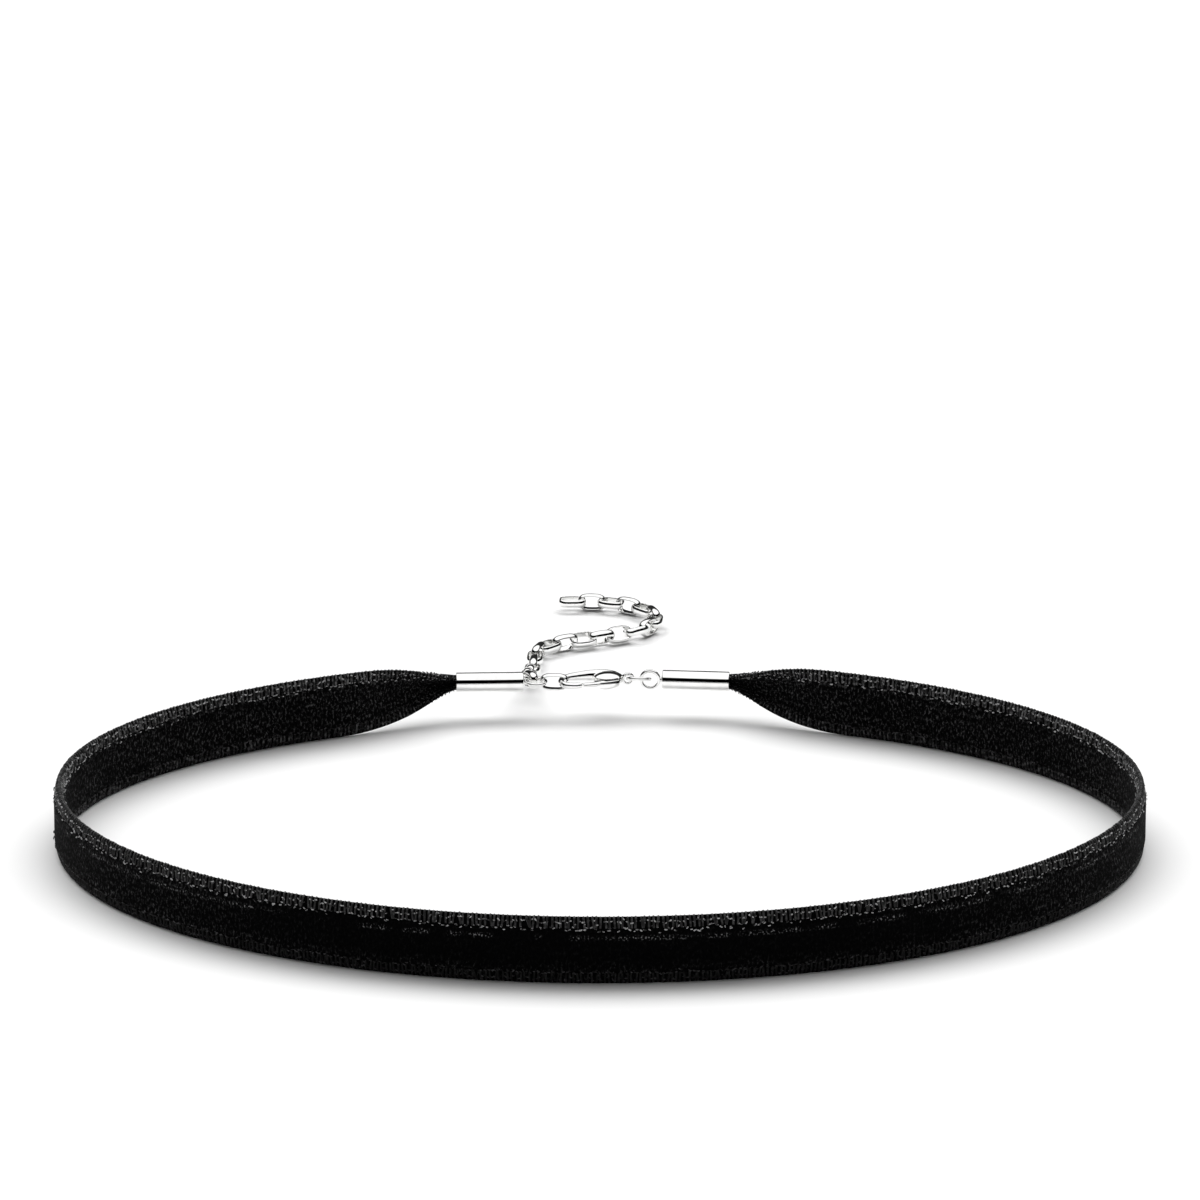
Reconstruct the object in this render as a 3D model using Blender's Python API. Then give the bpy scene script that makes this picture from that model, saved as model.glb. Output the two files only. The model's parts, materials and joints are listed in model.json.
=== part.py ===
"""Choker necklace: a velvet ribbon gathered into two silver end tubes, which a lobster clasp and
an extension chain fasten behind. The ribbon stands on its lower edge and the chain's free end
lies behind it.

Metres, +Z up. The wearer's front is towards -Y. The origin is the middle of the footprint, on
the surface that the necklace stands on. The layout is worked out around the middle of the loop,
and one empty then carries every piece to its place.
"""

import math

import bmesh
import bpy
from mathutils import Matrix, Vector

MM = 0.001

# The ribbon and the loop that it stands in, measured to the middle of its thickness.
RIBBON_WIDTH = 8.0 * MM
RIBBON_THICKNESS = 1.2 * MM
SELVEDGE_THICKNESS = 1.0 * MM
SELVEDGE_WIDTH = 1.4 * MM
LOOP_HALF_WIDTH = 62.0 * MM
LOOP_FRONT_DEPTH = 45.1 * MM
LOOP_BACK_DEPTH = 42.7 * MM
LOOP_STATIONS = 86

# The gathers, from flat ribbon to the bundle that the tubes grip.
GATHER_LENGTH = 14.0 * MM
GATHER_STATIONS = 12
GATHERED_THICKNESS = 0.6 * MM
GATHER_FOLD = math.radians(290)
RIBBON_IN_TUBE = 4.0 * MM
RIBBON_CLEARANCE = 0.1 * MM

# The end tubes with their soldered rings.
TUBE_LENGTH = 8.0 * MM
TUBE_DIAMETER = 2.4 * MM
TUBE_WALL = 0.2 * MM
TUBE_EDGE = 0.12 * MM
NECK_LENGTH = 0.2 * MM
NECK_DIAMETER = 0.6 * MM
NECK_TIP_DIAMETER = 0.3 * MM
LEFT_RING_DIAMETER = 2.7 * MM
RIGHT_RING_DIAMETER = 2.57 * MM
RING_WIRE = 0.42 * MM

# The belcher links, and the gap that each keeps to what it hangs in.
LINK_LENGTH = 3.45 * MM
LINK_HEIGHT = 2.16 * MM
LINK_BAND = 0.95 * MM
LINK_THICKNESS = 0.3 * MM
LINK_ROUNDNESS = 3.0
LINK_SLACK = 0.45 * MM
CHAIN_GAP = 0.07 * MM
TAIL_LINKS = 23

# The lobster clasp: its claw, eye, lever and pin.
CLASP_LENGTH = 9.0 * MM
CLASP_WIDTH = 4.0 * MM
CLASP_THICKNESS = 1.7 * MM
CLAW_BAR = 0.8 * MM
HOOK_GAP = 0.25 * MM
EYE_DIAMETER = 1.6 * MM
EYE_WIRE = 0.4 * MM
LEVER_THICKNESS = 0.62 * MM
LEVER_SIDE_GAP = 0.07 * MM
LEVER_BOSS_DIAMETER = 1.0 * MM
PIN_DIAMETER = 0.34 * MM
PIN_GAP = 0.08 * MM
PIN_GRIP = 0.23 * MM

# The round wire ring between the clasp's eye and the right tube's ring.
JUMP_RING_DIAMETER = 3.2 * MM
JUMP_RING_WIRE = 0.44 * MM
JUMP_RING_SLACK = 0.1 * MM
JUMP_RING_TILT = math.radians(-20)

# The line of the fastening behind the loop, and each piece's heading along it.
FASTENING_LIFT = 0.4 * MM
FASTENING_BULGE = 1.7 * MM
FASTENING_OFFSET = -0.85 * MM
LEFT_TUBE_HEADING = math.radians(2)
HELD_LINK_HEADING = math.radians(-3)
CLASP_HEADING = math.radians(9)
JUMP_RING_HEADING = math.radians(-6)
RIGHT_TUBE_HEADING = math.radians(-5)
TAIL_HEADING = math.radians(110)
TAIL_PITCH = math.radians(-10)

# Half of the ribbon's section from its lower edge to its middle:
# share of the half width, share of the thickness at the selvedge.
SELVEDGE_SECTION = (
    (1.00, 0.62),
    (0.96, 1.00),
)

# The claw's bar, from the hook's tip round to the neck of the eye: x and y as shares of the
# clasp's half length and half width, then the bar's width as a share of CLAW_BAR and its depth as
# a share of CLASP_THICKNESS.
CLAW_SECTIONS = (
    (-0.480, -0.78, 0.75, 0.40),
    (-0.580, -0.81, 0.90, 0.44),
    (-0.730, -0.76, 0.95, 0.46),
    (-0.895, -0.56, 0.92, 0.47),
    (-0.955, 0.00, 0.95, 0.47),
    (-0.870, 0.45, 1.00, 0.50),
    (-0.690, 0.74, 1.12, 0.57),
    (-0.420, 0.87, 1.25, 0.68),
    (-0.110, 0.88, 1.38, 0.84),
    (0.200, 0.76, 1.50, 0.94),
    (0.470, 0.50, 1.50, 0.88),
    (0.640, 0.18, 1.12, 0.60),
    (0.700, 0.02, 0.60, 0.35),
)
HOOK_MIDDLE = 4

# The lever's arm, from its tip at the hook to the pin, in the same columns, with its depth as a
# share of LEVER_THICKNESS.
LEVER_SECTIONS = (
    (-0.435, -0.77, 0.75, 0.88),
    (-0.270, -0.78, 0.80, 0.92),
    (-0.070, -0.70, 0.90, 0.92),
    (0.130, -0.50, 1.05, 0.92),
    (0.290, -0.22, 1.12, 0.92),
    (0.365, -0.08, 0.75, 0.90),
)

# The thumb tab, from its free end to its heel, and the web between it and the pin.
TAB_SECTIONS = (
    (0.020, -1.03, 0.30, 1.35),
    (0.150, -1.04, 0.45, 1.60),
    (0.350, -0.94, 0.55, 1.60),
    (0.530, -0.74, 0.50, 1.35),
    (0.610, -0.56, 0.30, 0.95),
)
WEB_SECTIONS = (
    (0.350, -0.20, 0.90, 0.82),
    (0.390, -0.90, 1.00, 0.82),
)
TIP_SLANT = 0.45
PIVOT = (0.365, -0.08)
EYE_REACH = 0.833

# The claw's swell around the lever: its middle and half sizes, as shares of the clasp's half
# length, half width and half thickness.
SWELL_MIDDLE = (0.30, 0.125)
SWELL_SIZE = (0.42, 0.78, 1.00)
SLOT_ENDS = (-0.30, 0.545)
SLOT_BACK = 0.375

# The free tail's route along the middle of the chain, behind the left tube's ring, from the loop's
# middle: x, y, z in millimetres and the roll in degrees that its links take beside their quarter
# turns.
TAIL_ROUTE = (
    (-8.7, 50.6, 3.00, 0),
    (-8.4, 54.6, 1.95, 0),
    (-8.1, 58.6, 1.17, 0),
    (-7.9, 61.8, 1.12, 0),
    (-7.8, 64.1, 1.12, 0),
    (-7.0, 66.4, 1.12, 2),
    (-5.3, 68.1, 1.14, 8),
    (-3.1, 69.2, 1.16, 20),
    (-0.9, 70.1, 1.16, 35),
    (1.4, 71.1, 1.17, 50),
    (3.7, 72.3, 1.16, 66),
    (5.7, 74.0, 1.15, 78),
    (6.8, 76.3, 1.12, 86),
    (6.7, 78.9, 1.12, 90),
    (5.4, 81.2, 1.12, 90),
    (3.3, 82.9, 1.12, 90),
    (0.8, 83.9, 1.12, 90),
    (-1.8, 84.2, 1.12, 90),
    (-4.4, 84.1, 1.12, 90),
)

UP = Vector((0.0, 0.0, 1.0))
RIBBON_BUNDLE = TUBE_DIAMETER - 2 * TUBE_WALL - 2 * RIBBON_CLEARANCE


def material(name, color, metallic, roughness):
    made = bpy.data.materials.new(name)
    made.use_nodes = True
    shader = made.node_tree.nodes["Principled BSDF"]
    shader.inputs["Base Color"].default_value = (*color, 1.0)
    shader.inputs["Metallic"].default_value = metallic
    shader.inputs["Roughness"].default_value = roughness
    return made


def skin(name, rings, closed=False):
    """Mesh through rings of points: closed round on itself, or capped at its two ends."""
    mesh = bmesh.new()
    rows = [[mesh.verts.new(point) for point in ring] for ring in rings]
    following = rows[1:] + rows[:1] if closed else rows[1:]
    for row, after in zip(rows, following):
        for index in range(len(row)):
            beside = (index + 1) % len(row)
            mesh.faces.new((row[index], row[beside], after[beside], after[index]))
    if not closed:
        mesh.faces.new(rows[0])
        mesh.faces.new(rows[-1])
    bmesh.ops.recalc_face_normals(mesh, faces=mesh.faces)
    data = bpy.data.meshes.new(name)
    mesh.to_mesh(data)
    mesh.free()
    return data


def place(name, data, finish, parent, matrix=None, sharp_above=40):
    data.shade_smooth()
    data.set_sharp_from_angle(angle=math.radians(sharp_above))
    if not data.materials:
        data.materials.append(finish)
    piece = bpy.data.objects.new(name, data)
    bpy.context.scene.collection.objects.link(piece)
    piece.parent = parent
    piece.matrix_local = matrix or Matrix.Identity(4)
    return piece


def combine(piece, tool, operation):
    """Boolean of a piece with a guide object that shares its parent."""
    tool.hide_render = True
    tool.display_type = 'WIRE'
    step = piece.modifiers.new(tool.name, 'BOOLEAN')
    step.operation = operation
    step.object = tool


def circle(radius, sides):
    angles = [2 * math.pi * index / sides for index in range(sides)]
    return [(radius * math.cos(angle), radius * math.sin(angle)) for angle in angles]


def wire_ring(name, diameter, wire, segments=16, sides=6):
    """Round wire ring in the XY plane."""
    middle = (diameter - wire) / 2
    rings = []
    for index in range(segments):
        angle = 2 * math.pi * index / segments
        out = Vector((math.cos(angle), math.sin(angle), 0.0))
        rings.append([out * (middle + across) + UP * along for across, along in circle(wire / 2, sides)])
    return skin(name, rings, closed=True)


def turned(name, profile, sides=16):
    """Solid of revolution about X, through (distance along X, radius) points."""
    rings = [[Vector((along, y, z)) for y, z in circle(radius, sides)] for along, radius in profile]
    return skin(name, rings)


def swept(name, rows, depth, slant_start=False, sides=10):
    """Oval bar through plan points of the clasp, with its depth along Z."""
    half_length, half_width = CLASP_LENGTH / 2, CLASP_WIDTH / 2
    points = [Vector((row[0] * half_length, row[1] * half_width, 0.0)) for row in rows]
    rings = []
    for index, (point, row) in enumerate(zip(points, rows)):
        ahead = points[min(index + 1, len(points) - 1)]
        behind = points[max(index - 1, 0)]
        side = UP.cross(ahead - behind).normalized()
        if slant_start and index == 0:
            side = Vector((-TIP_SLANT, 1.0, 0.0)) * math.copysign(1.0, side.y)
        half_bar = row[2] * CLAW_BAR / 2
        half_depth = row[3] * depth / 2
        rings.append([point + side * across * half_bar + UP * along * half_depth
                      for across, along in circle(1.0, sides)])
    return skin(name, rings)


def heading_vector(heading, pitch=0.0):
    level = math.cos(pitch)
    return Vector((math.cos(heading) * level, math.sin(heading) * level, math.sin(pitch)))


def pose(point, heading, roll=0.0, pitch=0.0):
    """Matrix that sets a piece modelled along X at a point, facing a heading."""
    turn = Matrix.Rotation(heading, 4, 'Z') @ Matrix.Rotation(-pitch, 4, 'Y')
    return Matrix.Translation(point) @ turn @ Matrix.Rotation(roll, 4, 'X')


def link_seat(ring_diameter):
    """Distance from a ring's middle to the outer end of a link that hangs in it."""
    hole = ring_diameter / 2 - RING_WIRE - CHAIN_GAP
    return math.sqrt(hole ** 2 - (LINK_BAND / 2) ** 2) - LINK_THICKNESS


def fastening_points():
    """Middle of each piece of the fastening, from the left tube's mouth to the right one's."""
    level = Vector((0.0, 0.0, RIBBON_WIDTH / 2 + FASTENING_LIFT))
    points = {"left_mouth": level}
    reach = TUBE_LENGTH + NECK_LENGTH + LEFT_RING_DIAMETER / 2
    points["left_ring"] = level + reach * heading_vector(LEFT_TUBE_HEADING)
    reach = link_seat(LEFT_RING_DIAMETER) + LINK_LENGTH / 2
    points["held_link"] = points["left_ring"] + reach * heading_vector(HELD_LINK_HEADING)
    hook_row = CLAW_SECTIONS[HOOK_MIDDLE]
    reach = LINK_LENGTH / 2 - LINK_THICKNESS - HOOK_GAP - hook_row[2] * CLAW_BAR / 2
    points["hook"] = points["held_link"] + reach * heading_vector(HELD_LINK_HEADING)
    clasp_axis = heading_vector(CLASP_HEADING)
    points["clasp"] = points["hook"] - hook_row[0] * CLASP_LENGTH / 2 * clasp_axis
    points["eye"] = points["clasp"] + EYE_REACH * CLASP_LENGTH / 2 * clasp_axis
    jump_span = JUMP_RING_DIAMETER - JUMP_RING_WIRE - JUMP_RING_SLACK
    points["jump_ring"] = points["eye"] + jump_span / 2 * heading_vector(JUMP_RING_HEADING)
    points["right_ring"] = points["eye"] + jump_span * heading_vector(JUMP_RING_HEADING)
    reach = RIGHT_RING_DIAMETER / 2 + NECK_LENGTH + TUBE_LENGTH
    points["right_mouth"] = points["right_ring"] + reach * heading_vector(RIGHT_TUBE_HEADING)
    middle = (points["left_mouth"] + points["right_mouth"]) / 2
    shift = Vector((FASTENING_OFFSET, LOOP_BACK_DEPTH + FASTENING_BULGE, middle.z)) - middle
    return {name: point + shift for name, point in points.items()}


def loop_point(angle):
    """Point of the loop's plan and its direction, by the angle from the middle of the back."""
    depth = LOOP_BACK_DEPTH if math.cos(angle) > 0 else LOOP_FRONT_DEPTH
    point = Vector((-LOOP_HALF_WIDTH * math.sin(angle), depth * math.cos(angle), 0.0))
    along = Vector((-LOOP_HALF_WIDTH * math.cos(angle), -depth * math.sin(angle), 0.0))
    return point, along.normalized()


def gather_stations(mouth, into_tube, side):
    """Plan stations of one gather, from the flat ribbon into its tube: point, direction, share.

    side is -1 on the left and 1 on the right; directions point into the tube.
    """
    start_x = abs(mouth.x) + GATHER_LENGTH
    angle = math.asin(start_x / LOOP_HALF_WIDTH)
    start, along = loop_point(-side * angle)
    along = along if along.dot(into_tube) > 0 else -along
    flat_mouth = Vector((mouth.x, mouth.y, 0.0))
    pull = (flat_mouth - start).length
    stations = []
    for index in range(1, GATHER_STATIONS + 1):
        t = index / GATHER_STATIONS
        point = (start * (2 * t ** 3 - 3 * t ** 2 + 1) + along * pull * (t ** 3 - 2 * t ** 2 + t)
                 + flat_mouth * (3 * t ** 2 - 2 * t ** 3) + into_tube * pull * (t ** 3 - t ** 2))
        slope = (start * (6 * t ** 2 - 6 * t) + along * pull * (3 * t ** 2 - 4 * t + 1)
                 + flat_mouth * (6 * t - 6 * t ** 2) + into_tube * pull * (3 * t ** 2 - 2 * t))
        stations.append((point, slope.normalized(), t))
    stations.append((flat_mouth + into_tube * RIBBON_IN_TUBE, into_tube, 1.0))
    return angle, stations


def ribbon_section(share):
    """Closed section of the ribbon, (outwards, up) from its path, folded by a share from 0 to 1."""
    fold = max(GATHER_FOLD * share ** 2, 1e-4)
    bundle_radius = (RIBBON_BUNDLE - GATHERED_THICKNESS) / 2
    width = RIBBON_WIDTH + (GATHER_FOLD * bundle_radius - RIBBON_WIDTH) * share ** 2
    squeeze = 1 + (GATHERED_THICKNESS / RIBBON_THICKNESS - 1) * share ** 2
    selvedge_start = 1 - 2 * SELVEDGE_WIDTH / RIBBON_WIDTH
    pile_end = selvedge_start - (RIBBON_THICKNESS - SELVEDGE_THICKNESS) / RIBBON_WIDTH
    half = [(across, thick * SELVEDGE_THICKNESS) for across, thick in SELVEDGE_SECTION]
    half += [(selvedge_start, SELVEDGE_THICKNESS), (pile_end, RIBBON_THICKNESS)]
    half += [(pile_end / 2, RIBBON_THICKNESS)]
    rows = [(-across, thick) for across, thick in half] + [(0.0, RIBBON_THICKNESS)]
    rows += [(across, thick) for across, thick in reversed(half)]
    radius = width / fold
    outer, inner = [], []
    for across, thick in rows:
        bend = across * fold / 2
        out = Vector((math.cos(bend), math.sin(bend)))
        middle = Vector((radius * (math.cos(bend) - 1), radius * math.sin(bend)))
        middle.x += bundle_radius * share ** 2
        outer.append(middle + out * thick * squeeze / 2)
        inner.append(middle - out * thick * squeeze / 2)
    return outer + inner[::-1]


def make_ribbon(points, finish, parent):
    left_in = heading_vector(LEFT_TUBE_HEADING)
    right_in = -heading_vector(RIGHT_TUBE_HEADING)
    left_angle, left = gather_stations(points["left_mouth"], left_in, -1)
    right_angle, right = gather_stations(points["right_mouth"], right_in, 1)
    stations = [(point, -along, share) for point, along, share in reversed(left)]
    for index in range(LOOP_STATIONS + 1):
        t = index / LOOP_STATIONS
        angle = left_angle + (2 * math.pi - right_angle - left_angle) * t
        stations.append((*loop_point(angle), 0.0))
    stations += right
    rings = []
    for point, along, share in stations:
        out = along.cross(UP)
        level = RIBBON_WIDTH / 2 + FASTENING_LIFT * share ** 2
        rings.append([point + out * across + UP * (level + up) for across, up in ribbon_section(share)])
    return place("velvet_ribbon", skin("velvet_ribbon", rings), finish, parent, sharp_above=60)


def make_tube(name, mouth, heading, ring_diameter, ring_roll, finish, parent):
    """Tube from its mouth towards its ring, with the ring soldered to its closed end."""
    radius = TUBE_DIAMETER / 2
    bore = radius - TUBE_WALL
    floor = TUBE_LENGTH - TUBE_WALL
    tip = TUBE_LENGTH + NECK_LENGTH + RING_WIRE / 2
    profile = ((floor, bore), (0.0, bore), (0.0, radius), (TUBE_LENGTH - TUBE_EDGE, radius),
               (TUBE_LENGTH, radius - TUBE_EDGE), (TUBE_LENGTH, NECK_DIAMETER / 2),
               (tip, NECK_TIP_DIAMETER / 2))
    tube = place(name, turned(name, profile), finish, parent, pose(mouth, heading))
    ring_middle = TUBE_LENGTH + NECK_LENGTH + ring_diameter / 2
    ring_data = wire_ring(name + "_ring", ring_diameter, RING_WIRE)
    ring_place = pose(mouth, heading) @ pose(Vector((ring_middle, 0.0, 0.0)), 0.0, ring_roll)
    ring = place(name + "_ring", ring_data, finish, parent, ring_place)
    combine(tube, ring, 'UNION')


def link_outline(stations=16):
    """Rounded oval of the link's mid line in XZ: point and outward direction."""
    reach = (LINK_LENGTH - LINK_THICKNESS) / 2
    rise = (LINK_HEIGHT - LINK_THICKNESS) / 2
    for across, up in circle(1.0, stations):
        along = math.copysign(abs(across) ** (2 / LINK_ROUNDNESS), across)
        above = math.copysign(abs(up) ** (2 / LINK_ROUNDNESS), up)
        slope_x = math.copysign(abs(along) ** (LINK_ROUNDNESS - 1), along) / reach
        slope_z = math.copysign(abs(above) ** (LINK_ROUNDNESS - 1), above) / rise
        yield Vector((along * reach, 0.0, above * rise)), Vector((slope_x, 0.0, slope_z)).normalized()


def make_link_mesh():
    """One belcher link around Y, its flat wide band crowned inside and out."""
    half_band, half_thickness = LINK_BAND / 2, LINK_THICKNESS / 2
    crown = ((-1.0, 0.0), (-0.72, 1.0), (0.72, 1.0), (1.0, 0.0), (0.55, -1.0), (-0.55, -1.0))
    rings = [[point + out * rise * half_thickness + Vector((0.0, across * half_band, 0.0))
              for across, rise in crown] for point, out in link_outline()]
    return skin("chain_link", rings, closed=True)


def point_at(centre, start, end, distance):
    """Point between start and end that lies at a distance from a centre."""
    along = end - start
    away = start.xyz - centre.xyz
    a, b = along.xyz.length_squared, along.xyz.dot(away)
    share = (math.sqrt(b * b - a * (away.length_squared - distance ** 2)) - b) / a
    return start + along * share


def smooth_route(route, steps=24):
    """Points and rolls of a smooth curve through the route's own points."""
    padded = [route[0] * 2 - route[1]] + route + [route[-1] * 2 - route[-2]]
    curve = []
    for before, start, end, after in zip(padded, padded[1:], padded[2:], padded[3:]):
        for index in range(steps):
            t = index / steps
            curve.append(0.5 * (2 * start + (end - before) * t
                                + (2 * before - 5 * start + 4 * end - after) * t ** 2
                                + (3 * start - 3 * end + after - before) * t ** 3))
    heading = (route[-1] - route[-2]) / steps
    return curve + [route[-1] + heading * index for index in range(6 * steps)]


def tail_places(left_ring):
    """Matrix of each tail link: each one reaches from one joint of the chain to the next."""
    pitch = LINK_LENGTH - 2 * LINK_THICKNESS - LINK_SLACK
    away = heading_vector(TAIL_HEADING, TAIL_PITCH)
    first = left_ring + (link_seat(LEFT_RING_DIAMETER) + (LINK_LENGTH - pitch) / 2) * away
    route = [Vector((*first, 0.0)), Vector((*(first + pitch * away), 0.0))]
    route += [Vector((x * MM, y * MM, z * MM, math.radians(roll))) for x, y, z, roll in TAIL_ROUTE]
    joints = route[:2]
    last = route[1]
    for point in smooth_route(route[1:]):
        while (point.xyz - joints[-1].xyz).length > pitch:
            joints.append(point_at(joints[-1], last, point, pitch))
        last = point
    places = []
    for index in range(TAIL_LINKS):
        start, end = joints[index], joints[index + 1]
        along = (end.xyz - start.xyz).normalized()
        roll = (start.w + end.w) / 2 + index * math.pi / 2
        middle = (start.xyz + end.xyz) / 2
        places.append(pose(middle, math.atan2(along.y, along.x), roll, math.asin(along.z)))
    return places


def make_clasp(origin, finish, parent):
    half_length, half_width = CLASP_LENGTH / 2, CLASP_WIDTH / 2
    spot = pose(origin, CLASP_HEADING)
    pivot = Vector((PIVOT[0] * half_length, PIVOT[1] * half_width, 0.0))
    slot = LEVER_THICKNESS + 2 * LEVER_SIDE_GAP

    swell_data = bpy.data.meshes.new("clasp_body")
    swell = bmesh.new()
    size = Matrix.Diagonal((SWELL_SIZE[0] * half_length, SWELL_SIZE[1] * half_width,
                            SWELL_SIZE[2] * CLASP_THICKNESS / 2, 1.0))
    middle = Matrix.Translation((SWELL_MIDDLE[0] * half_length, SWELL_MIDDLE[1] * half_width, 0.0))
    bmesh.ops.create_uvsphere(swell, u_segments=18, v_segments=9, radius=1.0, matrix=middle @ size)
    swell.to_mesh(swell_data)
    swell.free()
    body = place("clasp_body", swell_data, finish, parent, spot)

    slot_data = bpy.data.meshes.new("lever_slot")
    cutter = bmesh.new()
    slot_low = Vector((SLOT_ENDS[0] * half_length, -CLASP_WIDTH, -slot / 2))
    slot_high = Vector((SLOT_ENDS[1] * half_length, SLOT_BACK * half_width, slot / 2))
    slot_size = Matrix.Diagonal((*(slot_high - slot_low), 1.0))
    bmesh.ops.create_cube(cutter, size=1.0,
                          matrix=Matrix.Translation((slot_low + slot_high) / 2) @ slot_size)
    cutter.to_mesh(slot_data)
    cutter.free()
    combine(body, place("lever_slot", slot_data, finish, parent, spot), 'DIFFERENCE')

    claw = swept("claw", CLAW_SECTIONS, CLASP_THICKNESS, slant_start=True)
    combine(body, place("claw", claw, finish, parent, spot), 'UNION')
    pin_reach = slot / 2 + PIN_GRIP
    pin = turned("lever_pin", ((-pin_reach, PIN_DIAMETER / 2), (pin_reach, PIN_DIAMETER / 2)), sides=12)
    upright = Matrix.Rotation(math.radians(90), 4, 'Y')
    pin_place = spot @ Matrix.Translation(pivot) @ upright
    combine(body, place("lever_pin", pin, finish, parent, pin_place), 'UNION')
    eye = wire_ring("clasp_eye", EYE_DIAMETER, EYE_WIRE, segments=14)
    eye_place = spot @ pose(Vector((EYE_REACH * half_length, 0.0, 0.0)), 0.0, math.radians(90))
    combine(body, place("clasp_eye", eye, finish, parent, eye_place), 'UNION')

    boss_reach = LEVER_THICKNESS / 2
    boss_radius = LEVER_BOSS_DIAMETER / 2
    hinge = spot @ Matrix.Translation(pivot)
    lever_data = turned("clasp_lever", ((-boss_reach, boss_radius), (boss_reach, boss_radius)), sides=16)
    lever_data.transform(upright)
    lever = place("clasp_lever", lever_data, finish, parent, hinge)
    arm = swept("lever_arm", LEVER_SECTIONS, LEVER_THICKNESS, slant_start=True, sides=8)
    combine(lever, place("lever_arm", arm, finish, parent, spot), 'UNION')
    web = swept("lever_web", WEB_SECTIONS, LEVER_THICKNESS, sides=8)
    combine(lever, place("lever_web", web, finish, parent, spot), 'UNION')
    tab = swept("lever_tab", TAB_SECTIONS, LEVER_THICKNESS, sides=8)
    combine(lever, place("lever_tab", tab, finish, parent, spot), 'UNION')
    hole_radius = PIN_DIAMETER / 2 + PIN_GAP
    hole = turned("lever_hole", ((-CLASP_THICKNESS, hole_radius), (CLASP_THICKNESS, hole_radius)), sides=12)
    combine(lever, place("lever_hole", hole, finish, parent, pin_place), 'DIFFERENCE')


def main():
    for old in list(bpy.data.objects):
        bpy.data.objects.remove(old)
    velvet = material("black_velvet", (0.006, 0.006, 0.007), 0.0, 0.95)
    silver = material("polished_silver", (0.93, 0.93, 0.92), 1.0, 0.12)

    points = fastening_points()
    link_mesh = make_link_mesh()
    tail = tail_places(points["left_ring"])
    front = -(LOOP_FRONT_DEPTH + RIBBON_THICKNESS / 2)
    back = max((matrix @ corner.co).y for matrix in tail for corner in link_mesh.vertices)
    choker = bpy.data.objects.new("choker", None)
    bpy.context.scene.collection.objects.link(choker)
    choker.location = (0.0, -(front + back) / 2, 0.0)

    make_ribbon(points, velvet, choker)
    make_tube("end_tube_left", points["left_mouth"], LEFT_TUBE_HEADING, LEFT_RING_DIAMETER,
              0.0, silver, choker)
    make_tube("end_tube_right", points["right_mouth"], RIGHT_TUBE_HEADING + math.pi,
              RIGHT_RING_DIAMETER, math.radians(90), silver, choker)
    held_link = pose(points["held_link"], HELD_LINK_HEADING)
    for number, matrix in enumerate([held_link] + tail, start=1):
        place(f"chain_link_{number:02d}", link_mesh, silver, choker, matrix)
    jump_ring = wire_ring("jump_ring", JUMP_RING_DIAMETER, JUMP_RING_WIRE)
    place("jump_ring", jump_ring, silver, choker,
          pose(points["jump_ring"], JUMP_RING_HEADING, JUMP_RING_TILT))
    make_clasp(points["clasp"], silver, choker)


main()
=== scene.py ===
import json
import math

import bmesh
import bpy
import numpy as np
from mathutils import Matrix, Vector


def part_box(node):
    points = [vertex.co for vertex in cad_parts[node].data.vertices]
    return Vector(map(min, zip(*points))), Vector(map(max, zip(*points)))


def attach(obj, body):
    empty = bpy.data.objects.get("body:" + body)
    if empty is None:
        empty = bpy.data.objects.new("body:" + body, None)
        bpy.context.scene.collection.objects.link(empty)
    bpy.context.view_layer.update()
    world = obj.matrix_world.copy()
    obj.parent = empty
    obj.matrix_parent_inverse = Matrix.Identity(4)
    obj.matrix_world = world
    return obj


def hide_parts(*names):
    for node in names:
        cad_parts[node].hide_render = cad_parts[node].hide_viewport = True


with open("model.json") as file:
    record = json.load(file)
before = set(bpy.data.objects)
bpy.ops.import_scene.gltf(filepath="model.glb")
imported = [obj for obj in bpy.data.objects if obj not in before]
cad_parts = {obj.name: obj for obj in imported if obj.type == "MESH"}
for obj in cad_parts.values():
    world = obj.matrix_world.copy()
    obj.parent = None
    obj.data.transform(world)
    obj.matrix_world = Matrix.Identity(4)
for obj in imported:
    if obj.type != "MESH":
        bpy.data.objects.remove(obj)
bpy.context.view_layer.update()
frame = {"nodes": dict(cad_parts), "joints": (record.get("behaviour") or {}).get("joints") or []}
mm = 0.001
up = Vector((0, 0, 1))


# Shader maths

class Sock:
    # one socket of a shader tree, with the operators that the finishes below use
    def __init__(self, tree, socket):
        self.tree, self.socket = tree, socket

    def maths(self, operation, other, swap=False):
        pair = [other, self] if swap else [self, other]
        return self.tree.node("ShaderNodeMath", {"operation": operation}, pair)

    def __add__(self, other): return self.maths("ADD", other)
    def __radd__(self, other): return self.maths("ADD", other, True)
    def __sub__(self, other): return self.maths("SUBTRACT", other)
    def __rsub__(self, other): return self.maths("SUBTRACT", other, True)
    def __mul__(self, other): return self.maths("MULTIPLY", other)
    def __rmul__(self, other): return self.maths("MULTIPLY", other, True)

    def ramp(self, low, high):
        # 0 below low, 1 above high, smooth between
        inputs = {"Value": self, "From Min": low, "From Max": high}
        return self.tree.node("ShaderNodeMapRange", {"interpolation_type": "SMOOTHSTEP"}, inputs)

    def mix(self, low, high):
        # colour between two, by this value
        inputs = {0: self, 6: (*low, 1), 7: (*high, 1)}
        return self.tree.node("ShaderNodeMix", {"data_type": "RGBA"}, inputs, 2)


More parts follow.
